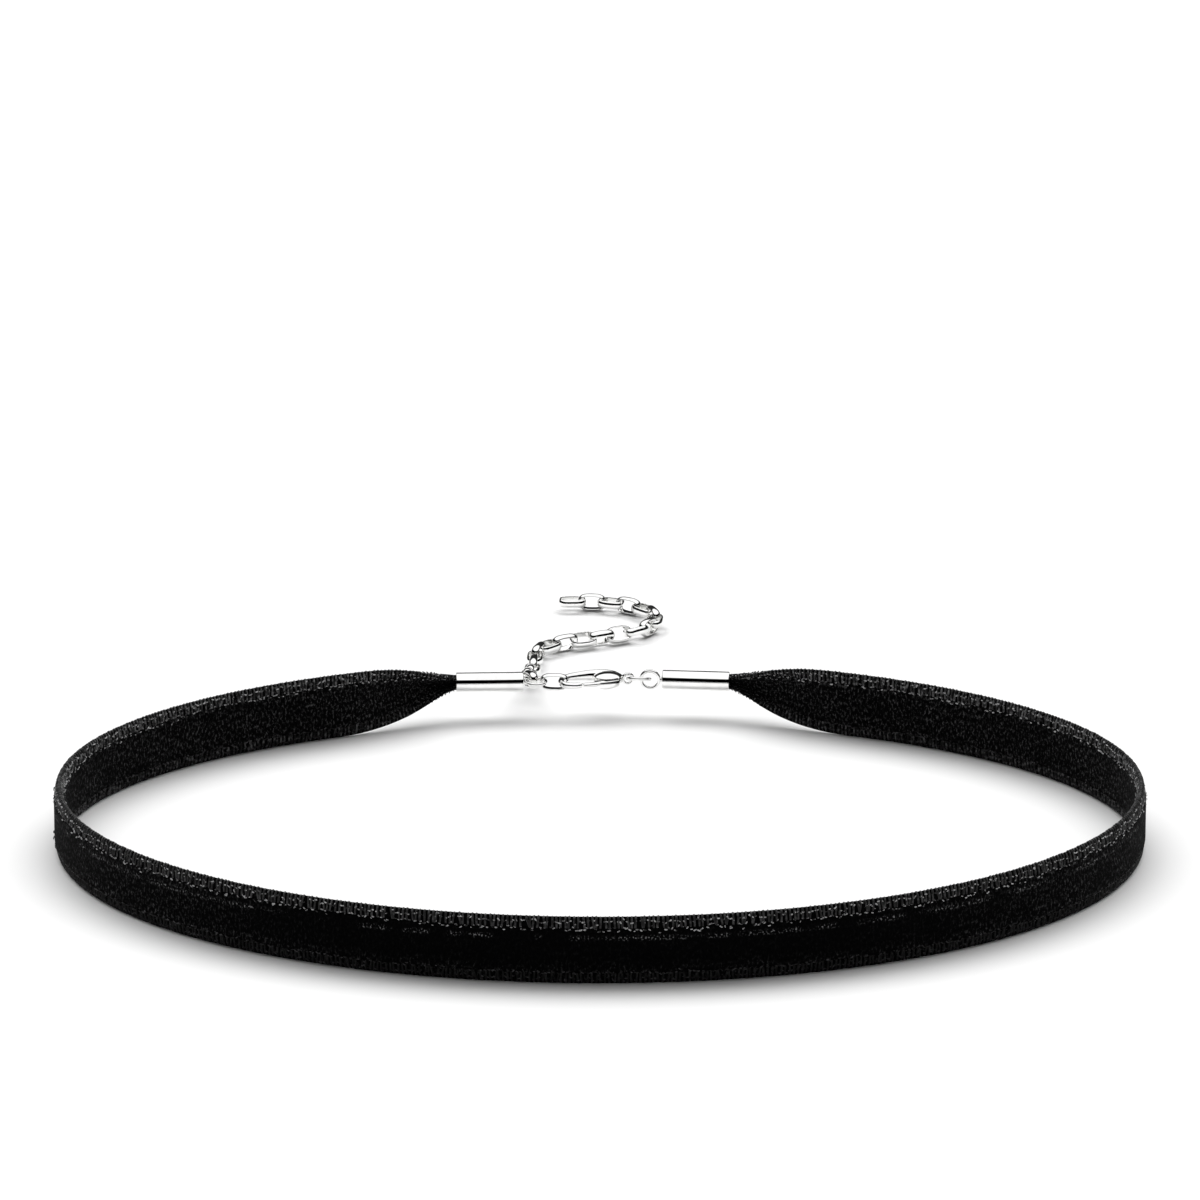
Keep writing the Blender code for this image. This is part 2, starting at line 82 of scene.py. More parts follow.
class Tree:
    # a shader tree: every node beside the maths comes from node()
    def __init__(self, owner):
        owner.use_nodes = True
        self.nodes, self.links = owner.node_tree.nodes, owner.node_tree.links

    def node(self, kind, settings=None, inputs=None, output=0):
        made = self.nodes.new(kind)
        for name, value in (settings or {}).items():
            if name == "stops":
                elements = made.color_ramp.elements
                for index, (place, color) in enumerate(value):
                    stop = elements[index] if index < 2 else elements.new(place)
                    stop.position, stop.color = place, (*color, 1)
            else:
                setattr(made, name, value)
        pairs = inputs.items() if isinstance(inputs, dict) else enumerate(inputs or [])
        for key, value in pairs:
            if isinstance(value, Sock):
                self.links.new(value.socket, made.inputs[key])
            else:
                made.inputs[key].default_value = value
        return Sock(self, made.outputs[output])

    def split(self, vector):
        # the three numbers of a vector
        parts = self.node("ShaderNodeSeparateXYZ", {}, [vector]).socket.node.outputs
        return [Sock(self, part) for part in parts]


class Finish(Tree):
    # a material around its own shader
    def __init__(self, name):
        self.material = bpy.data.materials.new(name)
        super().__init__(self.material)
        self.shader = self.nodes["Principled BSDF"]

    def objectPlace(self):
        return self.node("ShaderNodeTexCoord", output="Object")

    def attribute(self, name, output="Vector"):
        return self.node("ShaderNodeAttribute", {"attribute_name": name}, output=output)

    def stretched(self, place, scale):
        return self.node("ShaderNodeMapping", {}, {"Vector": place, "Scale": scale})

    def noise(self, place, scale, detail=2.0, rough=0.5):
        inputs = {"Vector": place, "Scale": scale, "Detail": detail, "Roughness": rough}
        return self.node("ShaderNodeTexNoise", {}, inputs)

    def bump(self, height, strength, distance):
        inputs = {"Height": height, "Strength": strength, "Distance": distance}
        return self.node("ShaderNodeBump", {}, inputs)

    def set(self, **values):
        # a shader input by its name, in one word: a plain value or a link
        for word, value in values.items():
            socket = next(i for i in self.shader.inputs if i.name.replace(" ", "") == word)
            if isinstance(value, Sock):
                self.links.new(value.socket, socket)
            else:
                socket.default_value = value
        return self.material


# Finishes

def silverFinish():
    tune = {
        "color": (0.955, 0.955, 0.945), "worn": (0.88, 0.88, 0.87), "wornCover": (0.35, 0.75),
        "gloss": 0.05, "haze": 0.07, "hazeScale": 900.0,
        "brushScale": 2600.0, "brushStretch": (3.0, 9.0, 9.0),
        "dentScale": 500.0, "dents": (0.12, 0.00002),
    }
    silver = Finish("polishedSilver")
    place = silver.objectPlace()
    haze = silver.noise(place, tune["hazeScale"], 3.0)
    brushed = silver.noise(silver.stretched(place, tune["brushStretch"]), tune["brushScale"])
    dents = silver.noise(place, tune["dentScale"], 1.0)
    return silver.set(
        BaseColor=haze.ramp(*tune["wornCover"]).mix(tune["color"], tune["worn"]),
        Metallic=1.0,
        Roughness=haze * tune["haze"] * brushed + tune["gloss"],
        Normal=silver.bump(dents, *tune["dents"]))


def pileFinish():
    # cloth attribute: millimetres along, millimetres up from the ribbon's middle, and 1 on the
    # outer face or -1 on the inner
    tune = {
        "deep": (0.0005, 0.0005, 0.0006), "fleck": (0.20, 0.20, 0.203),
        "roughness": 0.9, "specular": 0.03,
        # how light the tufts are inside the loop and outside, and what the outside gains at its
        # ends, as painted sheen where the loop turns away, and at its foot
        "inside": 0.42, "outside": 0.035, "ends": 0.32, "foot": 0.20,
        "leftEnd": (88, 132), "rightEnd": (181, 225), "footHeight": (-2.6, -0.9),
        "tuftStretch": (3.6, 1.9, 9.0), "tuftDetail": (3.0, 0.75), "tuftCover": (0.50, 0.70),
        "tuftBump": (0.9, 0.00015),
        "shadeScale": 0.35, "shadeCover": (0.25, 0.7), "shadeLeast": 0.4,
        "row": 1.55, "rowHalf": 0.42, "rowMarks": 0.9, "rowShade": (0.4, 0.6),
        "markStretch": (4.6, 3.4, 9.0), "markCover": (0.54, 0.68),
    }
    pile = Finish("velvetPile")
    place = pile.attribute("cloth")
    along, height, side = pile.split(place)
    tufts = pile.noise(pile.stretched(place, tune["tuftStretch"]), 1.0, *tune["tuftDetail"])
    shade = pile.noise(place, tune["shadeScale"])
    outside = side.ramp(-0.5, 0.5)
    # the pile is blackest in the middle of the front; towards the loop's ends its tufts are painted
    # lighter as painted sheen, and towards the foot they are lighter too
    ends = (1 - along.ramp(*tune["leftEnd"])) + along.ramp(*tune["rightEnd"])
    foot = 1 - height.ramp(*tune["footHeight"])
    # the tufts' share of light: inside against outside, plus painted sheen at the outside's ends
    worn = (outside * (ends * tune["ends"] + foot * tune["foot"] + tune["outside"])
            + (1 - outside) * tune["inside"])
    shaded = shade.ramp(*tune["shadeCover"]) * (1 - tune["shadeLeast"]) + tune["shadeLeast"]
    # a faint row of marks in the pile of the outer face, below the two rows of floats
    row = (height.ramp(tune["row"] - tune["rowHalf"], tune["row"])
           * (1 - height.ramp(tune["row"], tune["row"] + tune["rowHalf"])))
    marks = pile.noise(pile.stretched(place, tune["markStretch"]), 1.0, 1.0)
    flecks = (tufts.ramp(*tune["tuftCover"]) * shaded * worn
              + marks.ramp(*tune["markCover"]) * row * outside * shade.ramp(*tune["rowShade"])
              * tune["rowMarks"])
    return pile.set(
        BaseColor=flecks.mix(tune["deep"], tune["fleck"]),
        Roughness=tune["roughness"],
        SpecularIORLevel=tune["specular"],
        Normal=pile.bump(tufts, *tune["tuftBump"]))


# the yarns: weft loops of the upper edge and of the foot, and the warp floats along both; their
# light patches are painted glints of the black thread, brightest on the upper floats, while the
# foot's loops and the lower floats are painted darker as shade; outside is the share of their light
# that shows off the ribbon's inner face
yarnTunes = {
    "loopYarn": {"dark": (0.001, 0.001, 0.001), "light": (0.14, 0.14, 0.142), "outside": 0.30,
                 "patch": 2600.0, "cover": (0.44, 0.66), "gloss": 0.38, "specular": 0.35},
    "footYarn": {"dark": (0.001, 0.001, 0.001), "light": (0.12, 0.12, 0.122), "outside": 0.15,
                 "patch": 2600.0, "cover": (0.46, 0.68), "gloss": 0.40, "specular": 0.20},
    "upperYarnPaintedGlints": {"dark": (0.006, 0.006, 0.006), "light": (0.42, 0.42, 0.425), "outside": 1.0,
                  "patch": 2300.0, "cover": (0.38, 0.60), "gloss": 0.34, "specular": 0.35},
    "lowerYarnPaintedShade": {"dark": (0.002, 0.002, 0.002), "light": (0.06, 0.06, 0.062), "outside": 1.0,
                  "patch": 1300.0, "cover": (0.42, 0.68), "gloss": 0.35, "specular": 0.3},
}
yarnTwist = {"scale": 2400.0, "haze": 0.25, "bump": (0.5, 0.00003),
             "innerFlank": (-0.30 * mm, -0.18 * mm)}


def yarnFinish(name):
    tune = yarnTunes[name]
    yarn = Finish(name)
    place = yarn.objectPlace()
    twist = yarn.noise(place, yarnTwist["scale"])
    patch = yarn.noise(place, tune["patch"], 1.0)
    # painted sheen: the loops' flanks on the ribbon's inner face are painted lighter than elsewhere
    awayFromSheen = yarn.attribute("face", "Fac").ramp(*yarnTwist["innerFlank"])
    share = awayFromSheen * (tune["outside"] - 1) + 1
    # the yarn's light patches are painted glints of the glossy black thread
    return yarn.set(
        BaseColor=(patch.ramp(*tune["cover"]) * share).mix(tune["dark"], tune["light"]),
        Roughness=twist * yarnTwist["haze"] + tune["gloss"],
        SpecularIORLevel=tune["specular"],
        Normal=yarn.bump(twist, *yarnTwist["bump"]))


# Solids read back from the frame

def seatOf(node):
    # middle of a solid, its own axes from the longest spread to the shortest, and its reach on them
    mesh = frame["nodes"][node].data
    corners = np.array([[mesh.vertices[v].co[:] for v in face.vertices] for face in mesh.polygons])
    sides = corners[:, 1:] - corners[:, :1]
    areas = np.linalg.norm(np.cross(sides[:, 0], sides[:, 1]), axis=1)
    middle = (areas[:, None] * corners.mean(1)).sum(0) / areas.sum()
    spread = corners - middle
    whole = spread.sum(1)
    spreads = (np.einsum("f,fij,fik->jk", areas, spread, spread)
               + np.einsum("f,fj,fk->jk", areas, whole, whole))
    axes = np.linalg.eigh(spreads)[1][:, ::-1]
    axes[:, 2] *= np.sign(np.linalg.det(axes))
    reach = (corners.reshape(-1, 3) - middle) @ axes
    return middle, axes, reach.min(0), reach.max(0)


def matrixOf(middle, columns):
    matrix = Matrix.Identity(4)
    for index, axis in enumerate(columns):
        for row in range(3):
            matrix[row][index] = axis[row]
    matrix.translation = Vector(middle)
    return matrix


# Mesh makers

def meshPiece(name, verts, faces, finish):
    data = bpy.data.meshes.new(name)
    data.from_pydata([tuple(v) for v in verts], [], faces)
    made = bmesh.new()
    made.from_mesh(data)
    bmesh.ops.recalc_face_normals(made, faces=made.faces)
    made.to_mesh(data)
    made.free()
    data.shade_smooth()
    data.materials.append(finish)
    piece = bpy.data.objects.new(name, data)
    bpy.context.scene.collection.objects.link(piece)
    return piece


def anglesAround(count):
    return np.linspace(0, 2 * math.pi, count, endpoint=False)


def skinned(rings, closed=False):
    # quads through rings of points, capped at the ends where they don't close on themselves
    verts = [point for ring in rings for point in ring]
    sides, faces = len(rings[0]), []
    for row in range(len(rings) if closed else len(rings) - 1):
        after = (row + 1) % len(rings)
        for side in range(sides):
            beside = (side + 1) % sides
            faces.append([row * sides + side, row * sides + beside,
                          after * sides + beside, after * sides + side])
    if not closed:
        faces.append(list(range(sides)))
        faces.append([(len(rings) - 1) * sides + i for i in range(sides)])
    return verts, faces


def joined(parts):
    verts, faces = [], []
    for partVerts, partFaces in parts:
        faces += [[index + len(verts) for index in face] for face in partFaces]
        verts += partVerts
    return verts, faces


def ringAround(radius, wire, stations=64, sides=20):
    # round wire ring in XY, radius to the middle of the wire
    rings = []
    for turn in anglesAround(stations):
        out = Vector((math.cos(turn), math.sin(turn), 0))
        rings.append([out * (radius + wire / 2 * math.cos(a)) + up * wire / 2 * math.sin(a)
                      for a in anglesAround(sides)])
    return skinned(rings, closed=True)


def lathe(profile, sides=96):
    # solid of revolution about X through (distance along, radius)
    rings = [[Vector((along, radius * math.cos(a), radius * math.sin(a)))
              for a in anglesAround(sides)] for along, radius in profile]
    return skinned(rings)


def placed(part, matrix):
    return [matrix @ Vector(point) for point in part[0]], part[1]


def smoothRows(rows, steps):
    # rows of numbers with a smooth curve's steps put in between
    rows = np.array(rows, float)
    padded = np.vstack([2 * rows[0] - rows[1], rows, 2 * rows[-1] - rows[-2]])
    out = []
    for index in range(len(rows) - 1):
        a, b, c, d = padded[index:index + 4]
        for t in np.linspace(0, 1, steps, endpoint=False):
            out.append(0.5 * (2 * b + (c - a) * t + (2 * a - 5 * b + 4 * c - d) * t ** 2
                              + (3 * b - 3 * c + d - a) * t ** 3))
    return out + [rows[-1]]


# Camera, floor and light

def buildStudio():
    camera = {
        "distance": 1.133, "tilt": 20.0, "aim": 18.54, "drop": -2.5 * mm, "loopMiddle": -19.8 * mm,
        "lens": 296.4, "sensor": 36.0, "clip": 0.05,
    }
    # each half of a dome: band between two heights, as sines, and brightness under, in and over it
    lamps = {
        "strength": 6.95, "soft": 0.03, "turn": (-0.1, 0.5),
        "front": {"low": 0.10, "high": 0.70, "under": 0.10, "band": 0.001, "over": 0.11},
        "back": {"low": 0.0, "high": 0.62, "under": 0.02, "band": 0.02, "over": 1.0},
    }
    mirrored = {
        "strength": 1.12, "soft": 0.05, "turn": (-0.2, 0.5),
        "front": {"low": 0.10, "high": 0.72, "under": 1.0, "band": 0.0, "over": 1.0},
        "back": {"low": 0.0, "high": 0.62, "under": 0.0, "band": 0.02, "over": 1.0},
    }
    table = {"reach": 3.0, "color": (0.60, 0.60, 0.60), "gloss": 0.9, "specular": 0.1}

    lens = bpy.data.cameras.new("camera")
    lens.lens, lens.sensor_width, lens.clip_start = camera["lens"], camera["sensor"], camera["clip"]
    view = bpy.data.objects.new("camera", lens)
    tilt = math.radians(camera["tilt"])
    back = -camera["distance"] * math.cos(tilt) + camera["drop"] + camera["loopMiddle"]
    view.location = (0, back, camera["distance"] * math.sin(tilt))
    view.rotation_euler = (math.radians(90 - camera["aim"]), 0, 0)
    bpy.context.scene.collection.objects.link(view)
    bpy.context.scene.camera = view

    reach = table["reach"]
    corners = [(-reach, -reach, 0), (reach, -reach, 0), (reach, reach, 0), (-reach, reach, 0)]
    floorMesh = bpy.data.meshes.new("floor")
    floorMesh.from_pydata(corners, [], [(0, 1, 2, 3)])
    floor = bpy.data.objects.new("floor", floorMesh)
    paper = Finish("floorPaper")
    floorMesh.materials.append(paper.set(BaseColor=(*table["color"], 1), Roughness=table["gloss"],
                                         SpecularIORLevel=table["specular"]))
    bpy.context.scene.collection.objects.link(floor)

    # white lamps over a dark room, brightest behind, and an even dome for the silver to mirror
    world = bpy.data.worlds.new("studio")
    bpy.context.scene.world = world
    sky = Tree(world)
    depth, height = sky.split(sky.node("ShaderNodeTexCoord", output="Generated"))[1:]

    def halfDome(part, soft):
        places = [max(part["low"] - soft, 0), part["low"], part["high"] - soft, part["high"]]
        levels = [part["under"], part["band"], part["band"], part["over"]]
        stops = [(place, (level,) * 3) for place, level in zip(places, levels)]
        return sky.node("ShaderNodeValToRGB", {"stops": stops}, [height])

    def dome(light):
        halves = {0: depth.ramp(*light["turn"]), 6: halfDome(light["front"], light["soft"]),
                  7: halfDome(light["back"], light["soft"])}
        color = sky.node("ShaderNodeMix", {"data_type": "RGBA"}, halves, 2)
        return sky.node("ShaderNodeBackground", {}, {"Color": color, "Strength": light["strength"]})

    glossy = sky.node("ShaderNodeLightPath", output="Is Glossy Ray")
    both = sky.node("ShaderNodeMixShader", {}, {0: glossy, 1: dome(lamps), 2: dome(mirrored)})
    sky.links.new(both.socket, sky.nodes["World Output"].inputs["Surface"])
    bpy.context.scene.view_settings.view_transform = "Standard"
    print("studio done")


# Velvet ribbon

ribbonSizes = {
    "width": 8.0 * mm, "thickness": 1.2 * mm,
    # the woven edge: its thickness, its width, the pile's inset from the loops and its step up
    "selvedgeThickness": 0.66 * mm, "selvedge": 1.35 * mm, "inset": 0.12 * mm, "step": 0.25 * mm,
    "leastOval": 0.003,
    # the loop on its surface
    "halfWidth": 62.0 * mm, "frontDepth": 45.1 * mm, "backDepth": 42.7 * mm,
    # the gathered ends: how far up they lift, how long they are, and the fold in the tube's mouth
    "lift": 0.4 * mm, "gather": 14.0 * mm, "fold": math.radians(290),
    "gatheredThickness": 0.6 * mm, "bundle": 1.8 * mm, "inTube": 4.0 * mm,
    # points of the middle line, rings of the mesh along it, and its points across: in the middle
    # as shares of the half width, near the edges in millimetres from them, and at the foot
    "loopPoints": 900, "gatherPoints": 60, "tubePoints": 8, "station": 0.6 * mm,
    "middleAcross": (-0.55, 0.55, 9),
    "edgeAcross": (0.14, 0.20, 0.32, 0.6, 0.95, 1.3, 1.36, 1.45, 1.55, 1.68), "foot": 0.02 * mm,
}


class RibbonPath:
    # the ribbon's middle line from the left tube round the front to the right tube, and its fold
    def __init__(self, leftMouth, leftIn, rightMouth, rightIn):
        size = ribbonSizes
        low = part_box("velvet_ribbon")[0]
        self.middleY = low.y + size["frontDepth"] + size["thickness"] / 2
        left, leftAngle = self.gather(leftMouth, leftIn, -1)
        right, rightAngle = self.gather(rightMouth, rightIn, 1)
        points = list(reversed(left))
        for angle in np.linspace(leftAngle, 2 * math.pi - rightAngle, size["loopPoints"])[1:-1]:
            points.append((self.onLoop(angle), 0.0))
        points += right
        self.points = np.array([p for p, share in points])
        steps = np.linalg.norm(np.diff(self.points, axis=0), axis=1)
        self.lengths = np.concatenate([[0], np.cumsum(steps)])
        self.shares = np.array([share for p, share in points])
        self.length = self.lengths[-1]

    def onLoop(self, angle):
        size = ribbonSizes
        depth = size["backDepth"] if math.cos(angle) > 0 else size["frontDepth"]
        return np.array([-size["halfWidth"] * math.sin(angle),
                         self.middleY + depth * math.cos(angle)])

    def gather(self, mouth, inwards, side):
        # points from the loop into a tube with their shares of the fold, and the loop's angle there
        size = ribbonSizes
        mouth, inwards = np.array(mouth[:2]), np.array(inwards[:2])
        angle = math.asin((abs(mouth[0]) + size["gather"]) / size["halfWidth"])
        start = self.onLoop(-side * angle)
        along = self.onLoop(-side * (angle - 0.01)) - start
        along /= np.linalg.norm(along)
        pull = np.linalg.norm(mouth - start)
        points = []
        for t in np.linspace(0, 1, size["gatherPoints"]):
            points.append((start * (2 * t ** 3 - 3 * t ** 2 + 1)
                           + along * pull * (t ** 3 - 2 * t ** 2 + t)
                           + mouth * (3 * t ** 2 - 2 * t ** 3)
                           + inwards * pull * (t ** 3 - t ** 2), t))
        for reach in np.linspace(0, size["inTube"], size["tubePoints"])[1:]:
            points.append((mouth + inwards * reach, 1.0))
        return points, angle

    def inPlan(self, length):
        return [np.interp(length, self.lengths, self.points[:, i]) for i in (0, 1)]

    def at(self, length):
        # place, direction and share of the fold at a length along the ribbon
        ahead, behind = self.inPlan(min(length + mm, self.length)), self.inPlan(max(length - mm, 0))
        along = Vector((ahead[0] - behind[0], ahead[1] - behind[1], 0)).normalized()
        share = float(np.interp(length, self.lengths, self.shares))
        return Vector((*self.inPlan(length), 0)), along, share

    def cloth(self, length, across):
        # point of the ribbon's middle surface, its outward normal, the ways across and along it,
        # and how thin and how narrow it is there; across is -1 at the lower edge, 1 at the upper
        size = ribbonSizes
        point, along, share = self.at(length)
        gathered = share ** 2
        out = along.cross(up)
        fold = max(size["fold"] * gathered, 1e-4)  # never quite flat, so that it has a radius
        bundleRadius = (size["bundle"] - size["gatheredThickness"]) / 2
        width = size["width"] + (size["fold"] * bundleRadius - size["width"]) * gathered
        radius = width / fold
        bend = across * fold / 2
        level = size["width"] / 2 + size["lift"] * gathered
        middle = (point + out * (radius * (math.cos(bend) - 1) + bundleRadius * gathered)
                  + up * (level + radius * math.sin(bend)))
        squeeze = 1 + (size["gatheredThickness"] / size["thickness"] - 1) * gathered
        normal = out * math.cos(bend) + up * math.sin(bend)
        way = up * math.cos(bend) - out * math.sin(bend)
        return middle, normal, way, along, squeeze, width / size["width"]


def halfThickness(across):
    # of the flat ribbon: a half oval under the weft loops, then a step up to the pile's crown
    size = ribbonSizes
    fromEdge = (1 - abs(across)) * size["width"] / 2
    flat = size["selvedgeThickness"] / 2
    if fromEdge < size["selvedge"]:
        inset = size["selvedge"] - max(fromEdge - size["inset"], 0)
        return flat * math.sqrt(max(1 - (inset / size["selvedge"]) ** 2, size["leastOval"]))
    rise = min((fromEdge - size["selvedge"]) / size["step"], 1)
    rise = rise * rise * (3 - 2 * rise)
    return flat + (size["thickness"] / 2 - flat) * rise


def buildRibbon(path, finish):
    size = ribbonSizes
    edges = [1 - 2 * d * mm / size["width"] for d in size["edgeAcross"]]
    foot = size["foot"] * 2 / size["width"] - 1  # the lower edge reaches down to its surface
    across = sorted({*np.linspace(*size["middleAcross"]), *edges, *(-e for e in edges), foot})
    halfHeight = size["width"] / 2 / mm
    rings, cloth = [], []
    for length in np.linspace(0, path.length, int(path.length / size["station"])):
        outer, inner = [], []
        for a in across:
            middle, normal, way, along, squeeze, narrow = path.cloth(length, a)
            half = halfThickness(a) * squeeze
            outer.append((middle + normal * half, (length / mm, a * halfHeight, 1.0)))
            inner.append((middle - normal * half, (length / mm, a * halfHeight, -1.0)))
        row = outer + inner[::-1]
        rings.append([point for point, place in row])
        cloth += [place for point, place in row]
    piece = meshPiece("velvetRibbon", *skinned(rings), finish)
    places = piece.data.attributes.new("cloth", "FLOAT_VECTOR", "POINT")
    places.data.foreach_set("vector", np.array(cloth, np.float32).ravel())
    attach(piece, "choker")
    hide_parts("velvet_ribbon")
    print("ribbon done,", round(path.length / mm, 1), "mm long")


# Woven edges: weft loops over the selvedges and warp floats along them

edgeSizes = {
    # pitch, reach over the edge, wire and half height of the loops, and how much they differ
    "loopPitch": 0.49 * mm, "loopReach": 1.24 * mm, "loopWire": 0.27 * mm, "loopHalf": 0.38 * mm,
    "loopVary": 0.05, "loopWaver": 0.10, "loopStray": 0.07,
    # the floats, seated by a share of the loops' wire, in rows at these distances from the edge
    "floatPitch": 0.42 * mm, "floatRise": 0.07 * mm, "floatWire": 0.17 * mm, "floatHalf": 0.16 * mm,
    "floatVary": 0.45, "floatWaver": 0.45, "floatStray": 0.3, "floatSteps": 5, "floatSides": 4,
    "floatSeat": 0.20, "rows": (0.62 * mm, 1.42 * mm), "rowStray": 0.13 * mm,
    "hidden": 3.4 * mm,  # bare ends inside the tubes
}


def nodeTree(name, inputs):
    tree = bpy.data.node_groups.new(name, "GeometryNodeTree")
    tree.interface.new_socket("Geometry", in_out="INPUT", socket_type="NodeSocketGeometry")
    for label, kind, value in inputs:
        made = tree.interface.new_socket(label, in_out="INPUT", socket_type=kind)
        if value is not None:
            made.default_value = value
    tree.interface.new_socket("Geometry", in_out="OUTPUT", socket_type="NodeSocketGeometry")
    return tree


def treeNode(tree, kind, settings=None, inputs=None):
    made = tree.nodes.new(kind)
    for name, value in (settings or {}).items():
        setattr(made, name, value)
    for key, value in (inputs or {}).items():
        if isinstance(value, bpy.types.NodeSocket):
            tree.links.new(value, made.inputs[key])
        else:
            made.inputs[key].default_value = value
    return made


def runTree(tree, name, guide, values, finish):
    # guide mesh through the tree, as a plain mesh with one finish
    carrier = bpy.data.objects.new(name, guide)
    bpy.context.scene.collection.objects.link(carrier)
    step = carrier.modifiers.new("tree", "NODES")
    step.node_group = tree
    sockets = {s.name: s.identifier for s in tree.interface.items_tree if s.in_out == "INPUT"}
    for label, value in values.items():
        step[sockets[label]] = value
    bpy.context.view_layer.update()
    whole = carrier.evaluated_get(bpy.context.evaluated_depsgraph_get())
    data = bpy.data.meshes.new_from_object(whole)
    carrier.modifiers.clear()
    carrier.data = data
    data.name = name
    data.materials.clear()
    data.materials.append(finish)
    data.shade_smooth()
    return carrier


def stitchTree():
    # one stitch on every point of the guide, turned by the point's own axes
    tree = nodeTree("stitches", [
        ("Wire", "NodeSocketFloat", 0.2 * mm), ("Reach", "NodeSocketFloat", mm),
        ("Half", "NodeSocketFloat", 0.4 * mm), ("Vary", "NodeSocketFloat", 0.1),
        ("Steps", "NodeSocketInt", 9), ("Sides", "NodeSocketInt", 5),
        ("Seed", "NodeSocketInt", 1), ("Finish", "NodeSocketMaterial", None)])
    group = treeNode(tree, "NodeGroupInput").outputs

    def maths(operation, first, second):
        made = treeNode(tree, "ShaderNodeMath", {"operation": operation}, {0: first, 1: second})
        return made.outputs[0]

    def named(kind, name):
        made = treeNode(tree, "GeometryNodeInputNamedAttribute", {"data_type": kind},
                        {"Name": name})
        return made.outputs[0]

    # half oval over the edge: X across the ribbon, Y through it
    arc = treeNode(tree, "GeometryNodeCurveArc", {"mode": "RADIUS"},
                   {"Resolution": group["Steps"], "Radius": 1.0,
                    "Start Angle": -math.pi / 2, "Sweep Angle": math.pi})
    size = treeNode(tree, "ShaderNodeCombineXYZ", {},
                    {"X": group["Reach"], "Y": group["Half"], "Z": 1.0})
    oval = treeNode(tree, "GeometryNodeTransform", {},
                    {"Geometry": arc.outputs[0], "Scale": size.outputs[0]})
    section = treeNode(tree, "GeometryNodeCurvePrimitiveCircle", {},
                       {"Resolution": group["Sides"],
                        "Radius": maths("MULTIPLY", group["Wire"], 0.5)})
    yarn = treeNode(tree, "GeometryNodeCurveToMesh", {},
                    {"Curve": oval.outputs[0], "Profile Curve": section.outputs[0],
                     "Fill Caps": True})
    # which face of the ribbon a loop's flank lies on, for its finish
    place = treeNode(tree, "ShaderNodeSeparateXYZ", {},
                     {0: treeNode(tree, "GeometryNodeInputPosition").outputs[0]})
    marked = treeNode(tree, "GeometryNodeStoreNamedAttribute",
                      {"data_type": "FLOAT", "domain": "POINT"},
                      {"Geometry": yarn.outputs[0], "Name": "face", "Value": place.outputs["Y"]})
    turn = treeNode(tree, "FunctionNodeAxesToRotation",
                    {"primary_axis": "X", "secondary_axis": "Y"},
                    {0: named("FLOAT_VECTOR", "way"), 1: named("FLOAT_VECTOR", "out")})
    random = treeNode(tree, "FunctionNodeRandomValue", {"data_type": "FLOAT"},
                      {2: maths("SUBTRACT", 1.0, group["Vary"]), 3: 1.0, "Seed": group["Seed"]})
    spread = treeNode(tree, "GeometryNodeInstanceOnPoints", {},
                      {"Points": group["Geometry"], "Instance": marked.outputs[0],
                       "Rotation": turn.outputs[0],
                       "Scale": maths("MULTIPLY", random.outputs[1], named("FLOAT", "squeeze"))})
    real = treeNode(tree, "GeometryNodeRealizeInstances", {}, {0: spread.outputs[0]})
    dressed = treeNode(tree, "GeometryNodeSetMaterial", {},
                       {0: real.outputs[0], "Material": group["Finish"]})
    treeNode(tree, "NodeGroupOutput", {}, {0: dressed.outputs[0]})
    return tree


def guideMesh(name, rows):
    # points with the axes and scale that the stitches read
    data = bpy.data.meshes.new(name)
    data.from_pydata([row[0] for row in rows], [], [])
    for label, index in (("way", 1), ("out", 2)):
        made = data.attributes.new(label, "FLOAT_VECTOR", "POINT")
        axes = np.array([row[index][:] for row in rows], np.float32)
        made.data.foreach_set("vector", axes.ravel())
    made = data.attributes.new("squeeze", "FLOAT", "POINT")
    made.data.foreach_set("value", [row[3] for row in rows])
    return data


def wavered(axis, about, waver, random):
    # an axis with a little hand in it
    return (Matrix.Rotation(random.normal(0, waver), 3, about) @ axis).normalized()


def loopRows(path, side, random):
    size, rows = edgeSizes, []
    reach = size["loopReach"] + size["loopWire"] / 2
    for length in np.arange(size["hidden"], path.length - size["hidden"], size["loopPitch"]):
        length += random.normal(0, size["loopStray"]) * size["loopPitch"]
        middle, normal, way, along, squeeze, narrow = path.cloth(length, side)
        across = wavered(way * side, normal, size["loopWaver"], random)
        rows.append((middle - across * reach * narrow, across, normal, narrow))
    return rows


def floatRows(path, side, random):
    size, rows = edgeSizes, []
    lengths = np.arange(size["hidden"], path.length - size["hidden"], size["floatPitch"])
    for rowNumber, inset in enumerate(size["rows"]):
        for face in (1, -1):
            for length in lengths:
                shift = rowNumber / 2 + random.normal(0, size["floatStray"])
                length += shift * size["floatPitch"]
                fromEdge = inset + random.normal(0, size["rowStray"])
                place = side * (1 - 2 * fromEdge / ribbonSizes["width"])
                middle, normal, way, along, squeeze, narrow = path.cloth(length, place)
                lift = (halfThickness(place) * squeeze
                        + size["floatSeat"] * size["loopWire"] * narrow)
                rows.append((middle + normal * face * lift, normal * face,
                             wavered(along, normal, size["floatWaver"], random), narrow ** 0.5))
    return rows


